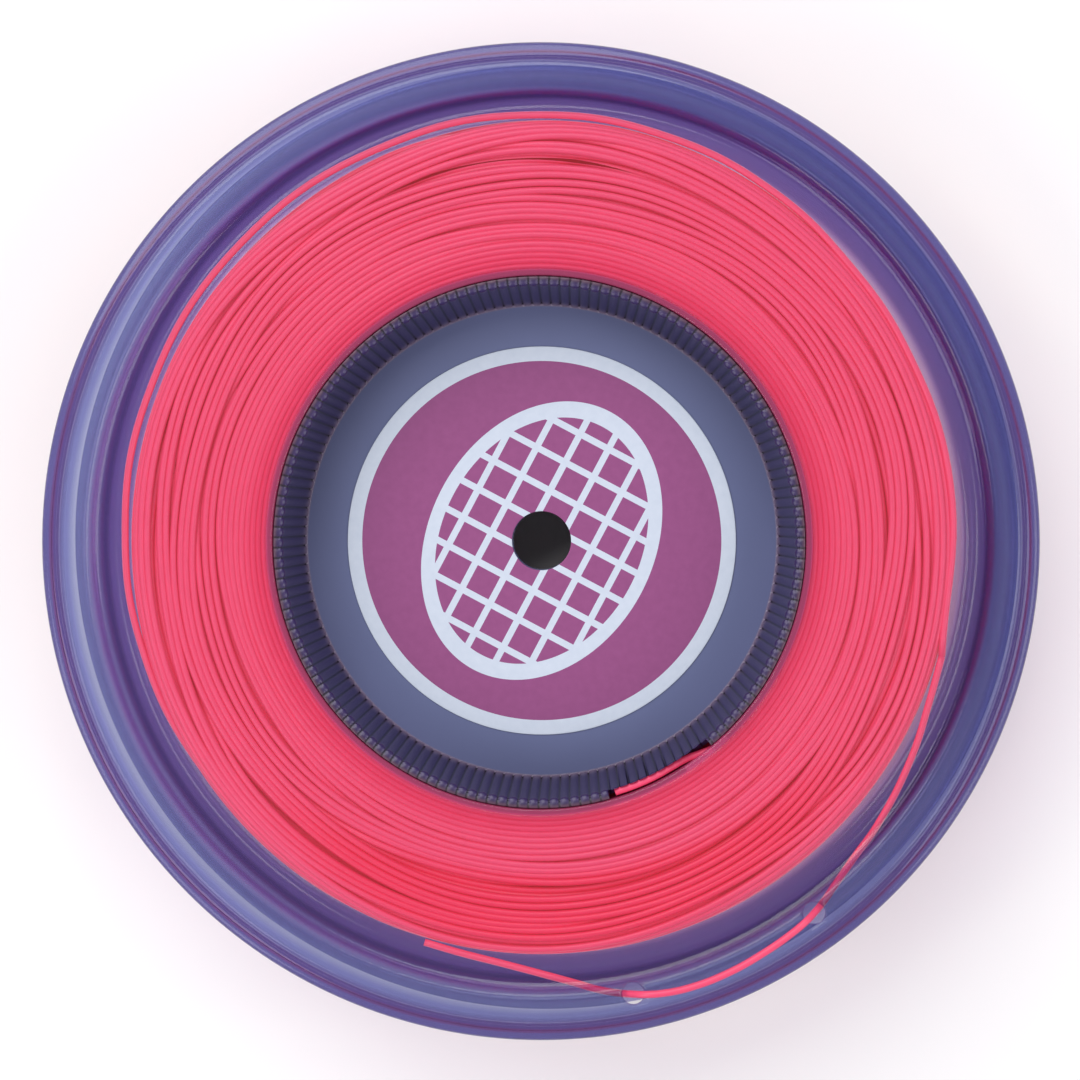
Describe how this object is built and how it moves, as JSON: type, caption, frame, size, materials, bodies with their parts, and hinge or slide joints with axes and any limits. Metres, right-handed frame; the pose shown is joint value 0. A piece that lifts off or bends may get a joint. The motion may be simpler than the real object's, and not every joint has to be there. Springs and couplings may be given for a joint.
{
  "type": "string reel",
  "caption": "Clear flanged reel wound full of bright racket string, with deep hub recesses, round labels and the string's loose end laced through the flange.",
  "frame": {"origin": "centre of the reel's base, in the plane of the rear flange's raised band, on the spindle axis", "axes": "+Z along the spindle axis, from the rear flange to the front one; the string's loose end is laced on the -Y side"},
  "size_m": [0.17, 0.17, 0.0435],
  "materials": {
    "clear_flange": "glossy see-through violet plastic",
    "dark_hub": "satin dark slate-violet plastic",
    "label_paper": "printed paper, magenta with a pale ring",
    "string": "satin fluorescent pink polyester monofilament"
  },
  "bodies": {
    "root": {"front_flange": "clear_flange", "rear_flange": "clear_flange", "front_hub_cup": "dark_hub", "rear_hub_cup": "dark_hub", "front_label": "label_paper", "rear_label": "label_paper", "string_winding": "string", "string_last_turn": "string", "string_tail": "string", "string_start": "string"}
  },
  "joints": []
}
